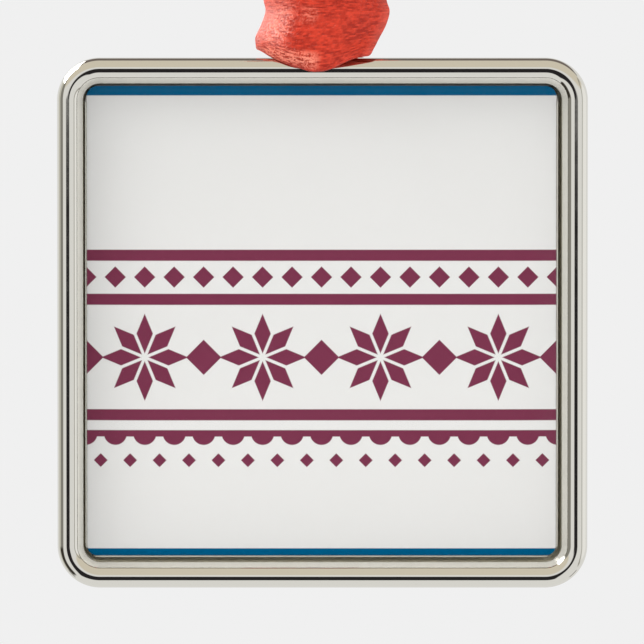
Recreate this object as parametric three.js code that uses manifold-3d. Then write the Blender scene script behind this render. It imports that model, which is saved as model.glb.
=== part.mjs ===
// A square metal Christmas ornament that hangs by a ribbon. A die-cast, nickel-plated bezel holds a pressed
// insert: a tinplate shell wrapped in a printed sheet and a clear film, closed by a back plate that the hems
// trap, and stuck into the tray by a foam pad. A sheer red ribbon is gathered through the bezel's eye, runs up
// as a doubled band, opens into the loop that takes the hook, and ends in a knot with two tails.
//
// Millimetres. X is to the right, Y to the back and Z up. The origin is where the hook carries the loop.
import * as THREE from "three";
import { mergeVertices } from "three/addons/utils/BufferGeometryUtils.js";
import Module from "manifold-3d";

const wasm = await Module();
wasm.setup();

// Bezel: a tray with a rounded bead round its edge and a second, lower bead inside it
const rimWidth = 2.775; // from the outside to the inner bead's lip
const wallDraft = 0.1; // how far the tray's wall leans in from the lip to the floor
const bezelCornerRadius = 4.6;
const bezelDepth = 4.6;
const backEdgeRadius = 0.8;
const trayFloor = 0.8;
const trayFillet = 0.3;
const outerBeadRadius = 1.2; // on the outside of the crest
const outerBeadInnerRadius = 1.1; // on the inside of the crest, down to the crease
const creaseSlope = 60; // degrees that the outer bead has turned from the front at the crease
const innerBeadStart = 33; // degrees that the inner bead faces inwards at the crease
const innerBeadEnd = 62; // and at its lip

// Eye: the lug that carries the ribbon, in the plane where the ornament balances
const eyePlane = 1.67; // from the bezel's back face
const eyeHoleWidth = 5;
const eyeHoleHeight = 3.2;
const eyeHoleRise = 0.6; // from the bezel's top edge to the hole
const eyeWall = 1.35;
const eyeThickness = 1.8;
const eyeEdge = 0.3;
const eyeFlare = 0.8; // radius of the flare at the lug's foot
const eyeRoot = 1; // how far the foot runs into the rim

// Insert: film, printed sheet and shell are pressed over each other and trap the back plate with their hems
const insertSize = 50.8;
const insertClearance = 0.3; // to the foot of the tray's wall
const insertShiftX = -0.1; // how far off the tray's middle it was stuck
const insertShiftZ = 0.2;
const insertSide = 0.86; // straight part of its side wall
const pressRadius = 0.05; // inside the shell's two turns
const crownDrop = 0.45;
const crownWidth = 9;
const filmThickness = 0.1;
const sheetThickness = 0.12;
const shellThickness = 0.2;
const layerGap = 0.03;
const hemWidth = 1.7;
const plateThickness = 0.3;
const plateHemGap = 0.05;
const platePanelClearance = 0.2; // between the plate's panel and the hems' edge
const padMargin = 2; // from the pad to the panel's edge
const padThickness = 0.6;

// Ribbon: one strip, shown in the stretches that it makes
const hangDrop = 66; // from the hook to the bezel's top edge
const ribbonHalfWidth = 6.6; // of the strip as it hangs, a little curled
const clothThickness = 0.5;
const strandGap = 0.34; // between the two strands where they lie together
const bunchWidth = 4.1;
const bunchHeight = 2.4;
const lobeDrop = 1.45; // how far the front fold hangs below the bezel's top edge
const lobeClosing = 1.6; // how far above the bezel's top edge the fold starts to narrow
const lobeTipHalfWidth = 2;
const lobeThickness = 1;
const lobeTipThickness = 0.6;
const pleatCount = 3;
const pleatDepth = 0.15;
const ribbonClearance = 0.4; // between the ribbon and the metal that it passes
const swingHeight = 8; // of the line where the ribbon bends, above the bezel's top edge
const bendGap = 0.6;
const neckHeight = 6;
const twistGap = 0.6;
const pegRadius = 3.5; // of the hook or branch that the loop is open for
const apexHalfWidth = 3.1;
const apexThickness = 1.5;
const gatherLength = 13; // over which the band narrows to the apex
const seatGap = 0.3;
const knotHeight = 7.6;
const knotHalfWidth = 4.6;
const knotThickness = 6.4;
const heartEndShare = 0.55; // width of the knot's heart at its ends, as a share of its middle
const wrapRadius = 1.5; // of the turn round the knot
const wrapTilt = 28; // degrees
const tailLength = 21;
const tailBend = 105; // degrees that each tail turns over its length
const tailLean = 15; // degrees to its side
const tailNotch = 3.5;
const tailRootHalfWidth = 2.2;

const trayInset = rimWidth + wallDraft; // from the outside to the foot of the tray's wall
const bezelSize = insertSize + 2 * (trayInset + insertClearance);
const padSize = insertSize - 2 * (hemWidth + platePanelClearance + padMargin);
const bezelTop = -hangDrop;
const bezelMiddle = bezelTop - bezelSize / 2;
const stackThickness = filmThickness + sheetThickness + shellThickness + 2 * layerGap;
const turnRadius = pressRadius + stackThickness;
const insertBack = trayFloor + padThickness + 2 * layerGap;
const insertFront = insertBack + 2 * turnRadius + insertSide + crownDrop;
const strandOffset = (strandGap + clothThickness) / 2;
const swingLine = bezelTop + swingHeight;
const neckBottom = swingLine + bendGap / 2;
const neckTop = neckBottom + neckHeight;
const loopBottom = neckTop + twistGap;
const knotBottom = apexThickness + seatGap;
const knotTop = knotBottom + knotHeight;

const radians = THREE.MathUtils.degToRad;
const smooth = (value, from, to) => THREE.MathUtils.smoothstep((value - from) / (to - from), 0, 1);
const mix = THREE.MathUtils.lerp;

// Closed meshes

// Joins rings of equally many points into one closed mesh. Each end is a strip of quads across its ring.
function skin(rings) {
  const count = rings[0].length;
  const positions = rings.flat(2);
  const faces = [];
  const quad = (a, b, c, d) => faces.push(a, b, c, a, c, d);
  for (let ring = 0; ring + 1 < rings.length; ring++) {
    for (let step = 0; step < count; step++) {
      const here = ring * count + step;
      const next = ring * count + ((step + 1) % count);
      quad(here, next, next + count, here + count);
    }
  }
  const last = (rings.length - 1) * count;
  for (let step = 0; step + 1 < count / 2; step++) {
    quad(count - 1 - step, count - 2 - step, step + 1, step);
    quad(last + step, last + step + 1, last + count - 2 - step, last + count - 1 - step);
  }
  return facingOut(positions, faces);
}

// Makes the geometry, turned inside out if its faces point in.
function facingOut(positions, faces) {
  const [a, b, c] = [new THREE.Vector3(), new THREE.Vector3(), new THREE.Vector3()];
  let volume = 0;
  for (let face = 0; face < faces.length; face += 3) {
    a.fromArray(positions, 3 * faces[face]);
    b.fromArray(positions, 3 * faces[face + 1]);
    c.fromArray(positions, 3 * faces[face + 2]);
    volume += a.dot(b.cross(c));
  }
  const geometry = new THREE.BufferGeometry();
  geometry.setAttribute("position", new THREE.Float32BufferAttribute(positions, 3));
  geometry.setIndex(volume < 0 ? faces.toReversed() : faces);
  return geometry;
}

function toManifold(geometry) {
  const bare = geometry.clone();
  bare.deleteAttribute("normal");
  bare.deleteAttribute("uv");
  const merged = mergeVertices(bare, 1e-4);
  const vertProperties = new Float32Array(merged.attributes.position.array);
  const triVerts = new Uint32Array(merged.index.array);
  return new wasm.Manifold(new wasm.Mesh({ numProp: 3, vertProperties, triVerts }));
}

function join(...geometries) {
  const solid = geometries.map(toManifold).reduce((whole, piece) => whole.add(piece));
  const { vertProperties, triVerts } = solid.getMesh();
  const geometry = new THREE.BufferGeometry();
  geometry.setAttribute("position", new THREE.Float32BufferAttribute(vertProperties, 3));
  geometry.setIndex(new THREE.Uint32BufferAttribute(triVerts, 1));
  return geometry;
}

// Points on an arc, in degrees, both ends included.
function arc(centreX, centreY, radius, from, to, steps) {
  return Array.from({ length: steps + 1 }, (_, step) => {
    const angle = radians(mix(from, to, step / steps));
    return [centreX + radius * Math.cos(angle), centreY + radius * Math.sin(angle)];
  });
}

// Square pieces: a profile of [inset, height] points carried round a rounded square

const sharpestCorner = 0.05;

function squareRing(size, cornerRadius, inset, cornerSteps) {
  const radius = Math.max(cornerRadius - inset, sharpestCorner);
  const reach = size / 2 - inset - radius;
  const corners = [[reach, reach], [-reach, reach], [-reach, -reach], [reach, -reach]];
  return corners.flatMap(([x, z], side) => arc(x, z, radius, side * 90, side * 90 + 90, cornerSteps));
}

// Heights are measured forwards from the bezel's back face.
function sweepSquare(profile, { size, cornerRadius, cornerSteps, shiftX = 0, shiftZ = 0 }) {
  return skin(profile.map(([inset, height]) =>
    squareRing(size, cornerRadius, inset, cornerSteps).map(([x, z]) =>
      [x + shiftX, eyePlane - height, z + bezelMiddle + shiftZ])));
}

// Bezel

const creaseInset = outerBeadRadius + outerBeadInnerRadius * Math.sin(radians(creaseSlope));
const creaseHeight = bezelDepth - outerBeadInnerRadius * (1 - Math.cos(radians(creaseSlope)));

function bezelProfile() {
  const startSine = Math.sin(radians(innerBeadStart));
  const innerRadius = (rimWidth - creaseInset) / (Math.sin(radians(innerBeadEnd)) - startSine);
  const innerCentreX = creaseInset - innerRadius * startSine;
  const innerCentreY = creaseHeight - innerRadius * Math.cos(radians(innerBeadStart));
  const outerHeight = bezelDepth - outerBeadRadius;
  const flankHeight = bezelDepth - outerBeadInnerRadius;
  return [
    ...arc(backEdgeRadius, backEdgeRadius, backEdgeRadius, 270, 180, 4),
    ...arc(outerBeadRadius, outerHeight, outerBeadRadius, 180, 90, 8),
    ...arc(outerBeadRadius, flankHeight, outerBeadInnerRadius, 90, 90 - creaseSlope, 6).slice(1),
    ...arc(innerCentreX, innerCentreY, innerRadius, 90 - innerBeadStart, 90 - innerBeadEnd, 5).slice(1),
    ...arc(trayInset + trayFillet, trayFloor + trayFillet, trayFillet, 180, 270, 2),
  ];
}

// The lug: a flat ring round the hole whose sides run straight down and flare into the rim.
function eyeLug() {
  const outerRadius = eyeHoleHeight / 2 + eyeWall;
  const holeRadius = eyeHoleHeight / 2;
  const holeReach = eyeHoleWidth / 2 - holeRadius;
  const holeMiddle = eyeHoleRise + holeRadius;
  const side = holeReach + outerRadius;
  const outline = new THREE.Shape();
  outline.moveTo(-side - eyeFlare, -eyeRoot);
  outline.lineTo(side + eyeFlare, -eyeRoot);
  outline.lineTo(side + eyeFlare, 0);
  outline.absarc(side + eyeFlare, eyeFlare, eyeFlare, -Math.PI / 2, -Math.PI, true);
  outline.absarc(holeReach, holeMiddle, outerRadius, 0, Math.PI / 2, false);
  outline.absarc(-holeReach, holeMiddle, outerRadius, Math.PI / 2, Math.PI, false);
  outline.absarc(-side - eyeFlare, eyeFlare, eyeFlare, 0, -Math.PI / 2, true);
  const hole = new THREE.Path();
  hole.absarc(holeReach, holeMiddle, holeRadius - eyeEdge, -Math.PI / 2, Math.PI / 2, false);
  hole.absarc(-holeReach, holeMiddle, holeRadius - eyeEdge, Math.PI / 2, 1.5 * Math.PI, false);
  outline.holes.push(hole);
  const geometry = new THREE.ExtrudeGeometry(outline, {
    depth: eyeThickness - 2 * eyeEdge,
    bevelThickness: eyeEdge,
    bevelSize: eyeEdge,
    bevelOffset: -eyeEdge,
    bevelSegments: 2,
    curveSegments: 8,
  });
  geometry.rotateX(Math.PI / 2);
  geometry.translate(0, eyeThickness / 2 - eyeEdge, bezelTop);
  return geometry;
}

function bezel() {
  const place = { size: bezelSize, cornerRadius: bezelCornerRadius, cornerSteps: 9 };
  return join(sweepSquare(bezelProfile(), place), eyeLug());
}

// Insert

const insertPlace = {
  size: insertSize,
  cornerRadius: bezelCornerRadius - trayInset - insertClearance,
  cornerSteps: 5,
  shiftX: insertShiftX,
  shiftZ: insertShiftZ,
};

// One face of a layer, offset inwards from the outside of the film: from the crown, over the shoulder, down
// the side and in under the hem.
function layerFace(offset) {
  const crownSteps = 5;
  const shoulderHeight = insertFront - crownDrop;
  const crown = Array.from({ length: crownSteps }, (_, step) => {
    const run = step / crownSteps;
    return [turnRadius + crownWidth * (1 - run), shoulderHeight + crownDrop * (1 - run * run) - offset];
  });
  return [
    ...crown,
    ...arc(turnRadius, shoulderHeight - turnRadius, turnRadius - offset, 90, 180, 4),
    ...arc(turnRadius, insertBack + turnRadius, turnRadius - offset, 180, 270, 3),
    [hemWidth, insertBack + offset],
  ];
}

function layer(offset, thickness) {
  return sweepSquare([...layerFace(offset), ...layerFace(offset + thickness).toReversed()], insertPlace);
}

// A shallow dish: its brim lies in front of the hems, and its panel comes back through them to the pad.
function backPlate() {
  const brimBack = insertBack + stackThickness + plateHemGap;
  const panelInset = hemWidth + platePanelClearance;
  const brimInset = turnRadius + plateHemGap;
  const profile = [
    [panelInset, insertBack],
    [panelInset, brimBack],
    [brimInset, brimBack],
    [brimInset, brimBack + plateThickness],
    [panelInset + plateThickness, brimBack + plateThickness],
    [panelInset + plateThickness, insertBack + plateThickness],
  ];
  return sweepSquare(profile, insertPlace);
}

// Ribbon

// A sheet of cloth as a solid: surface(u, v) is its middle, u across from 0 to 1 and v along it.
function cloth(surface, across, along, thickness) {
  const step = 1e-3;
  const rings = Array.from({ length: along + 1 }, (_, row) => {
    const front = [];
    const back = [];
    for (let column = 0; column <= across; column++) {
      const u = column / across;
      const v = row / along;
      const alongU = surface(u + step, v).sub(surface(u - step, v));
      const alongV = surface(u, v + step).sub(surface(u, v - step));
      const normal = alongU.cross(alongV).setLength(thickness(v) / 2);
      front.push(surface(u, v).add(normal).toArray());
      back.unshift(surface(u, v).sub(normal).toArray());
    }
    return [...front, ...back];
  });
  return skin(rings);
}

// A bundle of cloth, from rows of { z, y, halfWidth, thickness, ripple }, thinner towards its two edges.
function bundle(rows, across) {
  return skin(rows.map(({ z, y, halfWidth, thickness, ripple = 0 }) => {
    const front = [];
    const back = [];
    for (let column = 0; column <= across; column++) {
      const side = 2 * column / across - 1;
      const swell = clothThickness + (thickness - clothThickness) * (1 - side * side);
      const middle = y + ripple * Math.cos(pleatCount * Math.PI * side);
      front.push([side * halfWidth, middle - swell / 2, z]);
      back.unshift([side * halfWidth, middle + swell / 2, z]);
    }
    return [...front, ...back];
  }));
}

// The gather in the eye: a fold that hangs in front, a bunch through the hole and the strand behind it.
function ribbonBight() {
  const top = swingLine - bendGap / 2;
  const lugFace = eyeThickness / 2 + ribbonClearance;
  const rimFace = bezelDepth - eyePlane + ribbonClearance;
  const lugTop = bezelTop + eyeHoleRise + eyeHoleHeight + eyeWall;
  const holeMiddle = bezelTop + eyeHoleRise + eyeHoleHeight / 2;
  const foldBottom = bezelTop - lobeDrop;
  const rowSteps = 12;
  const stepsAcross = 10;
  const lobe = Array.from({ length: rowSteps + 1 }, (_, row) => {
    const z = mix(top, foldBottom, row / rowSteps);
    const past = smooth(z, top, lugTop);
    const outward = smooth(z, lugTop, bezelTop);
    const closing = smooth(z, bezelTop + lobeClosing, foldBottom);
    const thickness = mix(mix(clothThickness, lobeThickness, outward), lobeTipThickness, closing);
    return {
      z,
      y: -mix(mix(strandOffset, lugFace + thickness / 2, past), rimFace + thickness / 2, outward),
      halfWidth: mix(ribbonHalfWidth, lobeTipHalfWidth, closing),
      thickness,
      ripple: pleatDepth * past * (1 - closing),
    };
  });
  const back = Array.from({ length: rowSteps + 1 }, (_, row) => {
    const z = mix(top, holeMiddle - bunchHeight / 2, row / rowSteps);
    const past = smooth(z, top, lugTop);
    const gathered = smooth(z, lugTop, holeMiddle);
    return {
      z,
      y: mix(strandOffset, lugFace + bunchHeight / 4, past),
      halfWidth: mix(ribbonHalfWidth, bunchWidth / 2, gathered),
      thickness: mix(clothThickness, bunchHeight / 2, gathered),
    };
  });
  const insideFold = mix(bezelTop, holeMiddle, 1 / 3);
  const bunch = new THREE.CatmullRomCurve3([
    new THREE.Vector3(0, -rimFace - clothThickness / 4, insideFold),
    new THREE.Vector3(0, mix(-rimFace, -eyeThickness / 2, 1 / 2), mix(insideFold, holeMiddle, 2 / 3)),
    new THREE.Vector3(0, -eyeThickness / 2, holeMiddle),
    new THREE.Vector3(0, eyeThickness / 2, holeMiddle),
    new THREE.Vector3(0, lugFace + bunchHeight / 4, holeMiddle),
  ]);
  const bunchSteps = 8;
  const openShare = 0.45; // of its full size, where it leaves the fold
  const bunchRings = Array.from({ length: bunchSteps + 1 }, (_, step) => {
    const run = step / bunchSteps;
    const middle = bunch.getPoint(run);
    const outline = arc(0, 0, mix(openShare, 1, smooth(run, 0, openShare)), 0, 360, 16).slice(1);
    return outline.map(([x, z]) => [x * bunchWidth / 2, middle.y, middle.z + z * bunchHeight / 2]);
  });
  return join(bundle(lobe, stepsAcross), bundle(back, stepsAcross), skin(bunchRings));
}

function ribbonNeck() {
  const thickness = 2 * strandOffset + clothThickness;
  const band = (u, v) => new THREE.Vector3((2 * u - 1) * ribbonHalfWidth, 0, mix(neckBottom, neckTop, v));
  const [stepsAcross, stepsAlong] = [4, 3];
  return cloth(band, stepsAcross, stepsAlong, () => thickness);
}

// Two straight strands, tangent to the peg, and the arch over it.
function ribbonLoop() {
  const reach = -pegRadius - loopBottom;
  const strandRadius = pegRadius + clothThickness / 2;
  const lean = Math.asin(strandRadius / Math.hypot(reach, strandOffset)) - Math.atan(strandOffset / reach);
  const archLength = strandRadius * (Math.PI / 2 + lean);
  const straight = Math.sqrt(reach ** 2 + strandOffset ** 2 - strandRadius ** 2);
  const fromTop = (v) => {
    const share = Math.abs(4 * v - 2);
    return share < 1 ? share * archLength : archLength + (share - 1) * straight;
  };
  const thickness = (v) => mix(apexThickness, clothThickness, smooth(fromTop(v), 0, archLength));
  const surface = (u, v) => {
    const away = fromTop(v);
    const side = Math.sign(v - 0.5);
    const halfWidth = mix(apexHalfWidth, ribbonHalfWidth, smooth(away, 0, gatherLength));
    const middleRadius = pegRadius + thickness(v) / 2;
    const turn = Math.min(away / strandRadius, Math.PI / 2 + lean);
    const down = Math.max(away - archLength, 0);
    const y = middleRadius * Math.sin(turn) + down * Math.cos(turn);
    const z = -pegRadius + middleRadius * Math.cos(turn) - down * Math.sin(turn);
    return new THREE.Vector3((2 * u - 1) * halfWidth, side * y, z);
  };
  const [stepsAcross, stepsAlong] = [6, 36];
  return cloth(surface, stepsAcross, stepsAlong, thickness);
}

function ribbonTail(side) {
  const root = new THREE.Vector3(0, side * clothThickness, knotTop - wrapRadius);
  const leanTurn = new THREE.Matrix4().makeRotationY(radians(side * tailLean));
  const bendRadius = tailLength / radians(tailBend);
  const surface = (u, v) => {
    const across = 2 * u - 1;
    const along = v * (tailLength - tailNotch * (1 - Math.abs(across)));
    const turn = along / bendRadius;
    const halfWidth = mix(tailRootHalfWidth, ribbonHalfWidth, smooth(along, 0, tailLength / 2));
    const point = new THREE.Vector3(
      across * halfWidth,
      side * bendRadius * (1 - Math.cos(turn)),
      bendRadius * Math.sin(turn),
    );
    return point.applyMatrix4(leanTurn).add(root);
  };
  const [stepsAcross, stepsAlong] = [8, 12];
  return cloth(surface, stepsAcross, stepsAlong, () => clothThickness);
}

function ribbonKnot() {
  const rings = 10;
  const [wrapSides, wrapSteps] = [10, 28];
  const heart = skin(Array.from({ length: rings + 1 }, (_, ring) => {
    const swell = mix(heartEndShare, 1, Math.sin(Math.PI * ring / rings));
    const outline = arc(0, 0, 1, 0, 360, 20).slice(1);
    return outline.map(([x, y]) => [
      x * swell * (knotHalfWidth - wrapRadius / 2),
      y * swell * (knotThickness - wrapRadius) / 2,
      mix(knotBottom, knotTop, ring / rings),
    ]);
  }));
  const wrap = new THREE.TorusGeometry(knotHalfWidth - wrapRadius, wrapRadius, wrapSides, wrapSteps);
  wrap.scale(1, knotThickness / 2 / knotHalfWidth, 1);
  wrap.rotateY(radians(wrapTilt));
  wrap.translate(0, 0, (knotBottom + knotTop) / 2);
  return join(heart, wrap, ribbonTail(-1), ribbonTail(1));
}

// Assembly

const nickel = { color: 0xc9c7be, metalness: 1, roughness: 0.14 };
const tinplate = { color: 0xb5b6b4, metalness: 1, roughness: 0.35 };
const foam = { color: 0xf2f0ea, metalness: 0, roughness: 0.9 };
const paper = { color: 0xe6e8e4, metalness: 0, roughness: 0.55 };
const film = { color: 0xffffff, metalness: 0, roughness: 0.08, transparent: true, opacity: 0.2 };
const ribbon = { color: 0xc8342c, metalness: 0, roughness: 0.6 };

const ornament = new THREE.Group();

function add(name, geometry, material) {
  geometry.computeVertexNormals();
  const mesh = new THREE.Mesh(geometry, new THREE.MeshStandardMaterial(material));
  mesh.name = name;
  ornament.add(mesh);
  return mesh;
}

add("bezel", bezel(), nickel);
const pad = add("foam_pad", new THREE.BoxGeometry(padSize, padThickness, padSize), foam);
pad.position.set(insertShiftX, eyePlane - trayFloor - layerGap - padThickness / 2, bezelMiddle + insertShiftZ);
add("back_plate", backPlate(), tinplate);
add("insert_shell", layer(filmThickness + sheetThickness + 2 * layerGap, shellThickness), tinplate);
add("printed_sheet", layer(filmThickness + layerGap, sheetThickness), paper);
add("clear_film", layer(0, filmThickness), film);
add("ribbon_bight", ribbonBight(), ribbon);
add("ribbon_neck", ribbonNeck(), ribbon);
add("ribbon_loop", ribbonLoop(), ribbon);
add("ribbon_knot", ribbonKnot(), ribbon);

export default ornament;
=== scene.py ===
import math

import bmesh
import bpy
from mathutils import Matrix, Vector


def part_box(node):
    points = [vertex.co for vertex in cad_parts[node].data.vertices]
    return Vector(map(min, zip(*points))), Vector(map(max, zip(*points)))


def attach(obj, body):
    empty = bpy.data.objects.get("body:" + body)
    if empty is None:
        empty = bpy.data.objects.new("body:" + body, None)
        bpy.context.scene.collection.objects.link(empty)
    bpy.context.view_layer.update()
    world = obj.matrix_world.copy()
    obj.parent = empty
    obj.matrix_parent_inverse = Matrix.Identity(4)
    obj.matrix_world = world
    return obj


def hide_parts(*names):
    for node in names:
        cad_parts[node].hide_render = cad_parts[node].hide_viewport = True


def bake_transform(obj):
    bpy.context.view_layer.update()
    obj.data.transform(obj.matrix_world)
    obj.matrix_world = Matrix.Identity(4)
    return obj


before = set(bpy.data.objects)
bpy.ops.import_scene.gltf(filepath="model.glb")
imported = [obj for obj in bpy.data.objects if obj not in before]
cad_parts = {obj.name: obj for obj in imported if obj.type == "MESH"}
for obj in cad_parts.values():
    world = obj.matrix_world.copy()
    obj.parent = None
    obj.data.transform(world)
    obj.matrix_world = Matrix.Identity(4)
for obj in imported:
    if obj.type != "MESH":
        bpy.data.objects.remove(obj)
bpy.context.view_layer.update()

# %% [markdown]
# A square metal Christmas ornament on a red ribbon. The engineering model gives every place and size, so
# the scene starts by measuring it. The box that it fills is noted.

MM = 0.001
bezel_low, bezel_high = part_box("bezel")
bezel_size = bezel_high.x - bezel_low.x
bezel_top = bezel_low.z + bezel_size
bezel_middle = bezel_low.z + bezel_size / 2
bezel_front = bezel_low.y
bezel_back = bezel_high.y
print("bezel", round(bezel_size / MM, 2), "mm square,", round((bezel_back - bezel_front) / MM, 2), "mm deep")


def linear(code):
    """An sRGB colour such as 'C8342C' as the linear numbers that shaders use."""
    parts = [int(code[place:place + 2], 16) / 255 for place in (0, 2, 4)]
    return [part / 12.92 if part <= 0.04045 else ((part + 0.055) / 1.055) ** 2.4 for part in parts] + [1]


# %% [markdown]
# The photograph is a straight front view with hardly any perspective, so the camera gets a long lens and
# looks at the bezel's middle from only two degrees above it. Its distance follows from the lens and from
# the width that the picture has to take in at the bezel's rim.

# %% Camera
picture_width = 69.4 * MM
lens, sensor = 400, 36
elevation = math.radians(2)
aim_right, aim_behind_front, aim_above_middle = -0.05 * MM, 1.2 * MM, 0.1 * MM
aim = Vector((aim_right, bezel_front + aim_behind_front, bezel_middle + aim_above_middle))
distance = picture_width * lens / sensor
camera = bpy.data.objects.new("camera", bpy.data.cameras.new("camera"))
bpy.context.scene.collection.objects.link(camera)
camera.data.lens = lens
camera.data.sensor_width = sensor
camera.data.clip_start = 0.01
camera.location = aim + distance * Vector((0, -math.cos(elevation), math.sin(elevation)))
camera.rotation_euler = (math.pi / 2 - elevation, 0, 0)
bpy.context.scene.camera = camera
bpy.context.scene.view_settings.view_transform = "Standard"
print("camera", round(distance / MM), "mm from the rim")


# %% [markdown]
# Every shader below is a small tree of nodes. One helper adds a node, sets its properties and fills its
# inputs, by place or by name, from numbers or from the outputs of other nodes. It gives the node's first
# output, and from an output .node leads back to the node and its other outputs. A Mix node has one set of
# sockets for each kind of data. Those for colours get names here: a mask, the colour under it, the colour over
# it, and the result.

# %% A helper for nodes
MASK, UNDER, OVER, MIXED = 0, 6, 7, 2


def add(tree, kind, *values, named=None, **settings):
    """Adds a shader node and gives its first output. Values fill its inputs in order, and None skips one."""
    made = tree.nodes.new("ShaderNode" + kind)
    for name, value in settings.items():
        setattr(made, name, value)
    pairs = [(made.inputs[place], value) for place, value in enumerate(values) if value is not None]
    pairs += [(made.inputs[name], value) for name, value in (named or {}).items()]
    for socket, value in pairs:
        if isinstance(value, bpy.types.NodeSocket):
            tree.links.new(value, socket)
        else:
            socket.default_value = value
    return made.outputs[0] if made.outputs else made


# %% [markdown]
# Polished metal has little colour of its own: it shows the room. Such a piece is lit in a white room, and
# the dark lines in it are the few dark things there, above all the camera with its stand. The world below
# is that room. Each zone of it is a colour between soft limits along three directions: to the right,
# inwards (away from the camera) and up. A real room built of walls would do as well, but zones are quicker
# to move until the lines fall in the right places on the rim. The camera itself sees a plain pale ground.

# %% World
pale = linear("F0F0F0")
room_brightness = 0.95
world = bpy.data.worlds.new("studio")
bpy.context.scene.world = world
world.use_nodes = True
tree = world.node_tree
tree.nodes.clear()
view = add(tree, "TexCoord")
parts = add(tree, "SeparateXYZ", view)
right, inward, up = parts.node.outputs


def zone(room, colour, *limits):
    """Paints a colour into the room where all limits hold: (direction, where it starts, where it is full)."""
    cover = 1
    for direction, start, full in limits:
        edge = add(tree, "MapRange", direction, start, full, 0, 1, interpolation_type="SMOOTHSTEP")
        cover = add(tree, "Math", cover, edge, operation="MULTIPLY")
    mix = add(tree, "Mix", data_type="RGBA", named={MASK: cover, UNDER: room, OVER: linear(colour)})
    return mix.node.outputs[MIXED]


dark_left, dark_right = (math.sin(math.radians(turn)) for turn in (-21, 11))
dark_bottom, dark_top = (math.sin(math.radians(turn)) for turn in (-36, 0.5))
blur = 0.03
zones = {
    "warm ceiling": ("E2DACA", (up, 0.22, 0.34), (inward, 0.12, 0.02)),
    "shade high behind": ("7C726D", (up, 0.6, 0.72), (inward, 0.02, 0.12), (inward, 0.75, 0.68)),
    "shaded left wall": ("8E8C86", (right, -0.79, -0.84), (inward, 0.04, -0.10)),
    "left wall further in": ("D2D0C6", (right, -0.70, -0.78), (inward, -0.10, 0.04), (inward, 0.42, 0.30)),
    "bright right wall": ("FFFFFF", (right, 0.90, 0.94)),
    "grey edge of the right wall": ("A8A69E", (right, 0.80, 0.83), (right, 0.89, 0.86), (inward, 0, -0.1)),
    "dark case low on the left": (
        "3E3A34", (right, -0.55, -0.62), (up, -0.06, -0.16), (up, -0.80, -0.74),
        (inward, 0.14, 0.04), (inward, -0.55, -0.40),
    ),
    "camera and its stand": (
        "2A282A", (right, dark_left - blur, dark_left + blur), (right, dark_right + blur, dark_right - blur),
        (up, dark_bottom - blur, dark_bottom + blur), (up, dark_top + blur, dark_top - blur),
        (inward, 0, -0.2),
    ),
}
room = pale
for colour, *limits in zones.values():
    room = zone(room, colour, *limits)
rays = add(tree, "LightPath")
lit = add(tree, "Background", room, room_brightness)
seen = add(tree, "Background", pale, 1)
both = add(tree, "MixShader", rays.node.outputs["Is Camera Ray"], lit, seen)
add(tree, "OutputWorld", both)
print("world of", len(zones), "zones and", len(tree.nodes), "nodes")


# %% [markdown]
# The key light is a soft box, up and to the left and a little behind the ornament. It draws the white
# patches on the rim's rounded corners and the sheen on the ribbon. A weaker one fills the shadows from the
# right and is kept out of the metal. The camera sees neither.

# %% Lamps
def soft_box(name, azimuth, height, away, size, power, mirrored=True):
    """A lamp of a width and height that faces the bezel. Azimuth 0 is in front, 90 to the right."""
    lamp = bpy.data.objects.new(name, bpy.data.lights.new(name, "AREA"))
    bpy.context.scene.collection.objects.link(lamp)
    lamp.data.shape = "RECTANGLE"
    lamp.data.size, lamp.data.size_y = size
    lamp.data.energy = power
    azimuth, height = math.radians(azimuth), math.radians(height)
    direction = Vector((
        math.sin(azimuth) * math.cos(height), -math.cos(azimuth) * math.cos(height), math.sin(height),
    ))
    lamp.location = Vector((0, 0, bezel_middle)) + away * direction
    lamp.rotation_euler = direction.to_track_quat("Z", "Y").to_euler()
    lamp.visible_camera = False
    lamp.visible_glossy = mirrored


soft_box("key", azimuth=-108, height=43, away=0.5, size=(0.46, 0.27), power=3.2)
soft_box("fill", azimuth=30, height=20, away=0.7, size=(0.4, 0.4), power=1.8, mirrored=False)
print("2 soft boxes")

# %% [markdown]
# The floor is a pale disc below the hanging ornament, seen only from above: its underside is transparent,
# so it never hides the ornament from below. It is low and small enough to stay out of the picture, and wide
# enough to send light up to the underside. To the camera it also glows, so that it looks as pale as the
# ground behind it and still shows a shadow. The polished metal mirrors the room without it.

# %% Floor
floor_drop = 40 * MM
floor_radius = 200 * MM
glow_share = 0.75
mesh = bmesh.new()
bmesh.ops.create_circle(mesh, cap_ends=True, segments=96, radius=floor_radius)
bmesh.ops.translate(mesh, verts=mesh.verts, vec=(0, 0, bezel_low.z - floor_drop))
floor = bpy.data.objects.new("floor", bpy.data.meshes.new("floor"))
mesh.to_mesh(floor.data)
mesh.free()
bpy.context.scene.collection.objects.link(floor)
paint = bpy.data.materials.new("pale studio floor")
paint.use_nodes = True
tree = paint.node_tree
tree.nodes.clear()
rays = add(tree, "LightPath")
shine = add(tree, "Math", rays.node.outputs["Is Camera Ray"], glow_share, operation="MULTIPLY")
matt = add(tree, "BsdfDiffuse", pale)
glow = add(tree, "Emission", pale, 1)
side = add(tree, "MixShader", shine, matt, glow)
facing = add(tree, "NewGeometry").node.outputs["Backfacing"]
clear = add(tree, "BsdfTransparent")
add(tree, "OutputMaterial", add(tree, "MixShader", facing, side, clear))
floor.data.materials.append(paint)
floor.visible_glossy = False
print("floor", round(floor_drop / MM), "mm below the bezel")
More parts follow.
